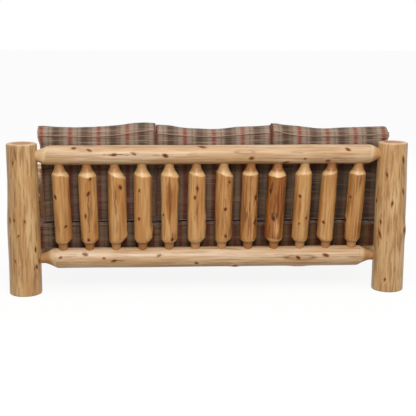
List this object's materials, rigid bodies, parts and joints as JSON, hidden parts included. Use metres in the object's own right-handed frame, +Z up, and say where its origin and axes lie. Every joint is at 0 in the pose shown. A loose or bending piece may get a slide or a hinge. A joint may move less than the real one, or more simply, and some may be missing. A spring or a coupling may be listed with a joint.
{
  "type": "log sofa",
  "caption": "Three-seat rustic sofa of peeled logs: round posts, spindle back and arms with tapered tenons in blind mortises, a slatted deck, and loose plaid seat and back cushions.",
  "frame": {"origin": "on the floor, under the middle of the sofa's length and depth", "axes": "+X runs along the length to a sitter's left, +Y to the back of the sofa, and +Z up"},
  "size_m": [2.2108, 0.9144, 0.929],
  "materials": {
    "log": "peeled log under a clear satin coat",
    "spindle": "darker peeled log under a clear satin coat",
    "deck": "planed softwood board",
    "cloth": "woven plaid upholstery in greige, dark brown and rust red"
  },
  "bodies": {
    "frame": {"left_front_post": "log", "right_front_post": "log", "left_rear_post": "log", "right_rear_post": "log", "back_top_rail": "log", "back_bottom_rail": "log", "front_rail": "log", "left_arm": "log", "right_arm": "log", "left_side_rail": "log", "right_side_rail": "log", "back_spindle_01": "spindle", "back_spindle_02": "spindle", "back_spindle_03": "spindle", "back_spindle_04": "spindle", "back_spindle_05": "spindle", "back_spindle_06": "spindle", "back_spindle_07": "spindle", "back_spindle_08": "spindle", "back_spindle_09": "spindle", "back_spindle_10": "spindle", "back_spindle_11": "spindle", "back_spindle_12": "spindle", "left_arm_spindle_1": "spindle", "left_arm_spindle_2": "spindle", "left_arm_spindle_3": "spindle", "right_arm_spindle_1": "spindle", "right_arm_spindle_2": "spindle", "right_arm_spindle_3": "spindle", "rear_cleat": "deck", "front_cleat": "deck", "deck_slat_01": "deck", "deck_slat_02": "deck", "deck_slat_03": "deck", "deck_slat_04": "deck", "deck_slat_05": "deck", "deck_slat_06": "deck", "deck_slat_07": "deck", "deck_slat_08": "deck", "deck_slat_09": "deck", "deck_slat_10": "deck", "deck_slat_11": "deck"},
    "left_seat": {"left_seat_cushion": "cloth"},
    "middle_seat": {"middle_seat_cushion": "cloth"},
    "right_seat": {"right_seat_cushion": "cloth"},
    "left_back": {"left_back_cushion": "cloth"},
    "middle_back": {"middle_back_cushion": "cloth"},
    "right_back": {"right_back_cushion": "cloth"}
  },
  "joints": [
    {"name": "left_back_lift", "type": "slide", "parent": "frame", "child": "left_back", "axis": [0, 0.0767, 0.9971], "range_m": [0, 0.56]},
    {"name": "middle_back_lift", "type": "slide", "parent": "frame", "child": "middle_back", "axis": [0, 0.0767, 0.9971], "range_m": [0, 0.56]},
    {"name": "right_back_lift", "type": "slide", "parent": "frame", "child": "right_back", "axis": [0, 0.0767, 0.9971], "range_m": [0, 0.56]},
    {"name": "left_seat_pull", "type": "slide", "parent": "frame", "child": "left_seat", "axis": [0, -0.9971, 0.0767], "range_m": [0, 0.76]},
    {"name": "middle_seat_pull", "type": "slide", "parent": "frame", "child": "middle_seat", "axis": [0, -0.9971, 0.0767], "range_m": [0, 0.76]},
    {"name": "right_seat_pull", "type": "slide", "parent": "frame", "child": "right_seat", "axis": [0, -0.9971, 0.0767], "range_m": [0, 0.76]}
  ]
}
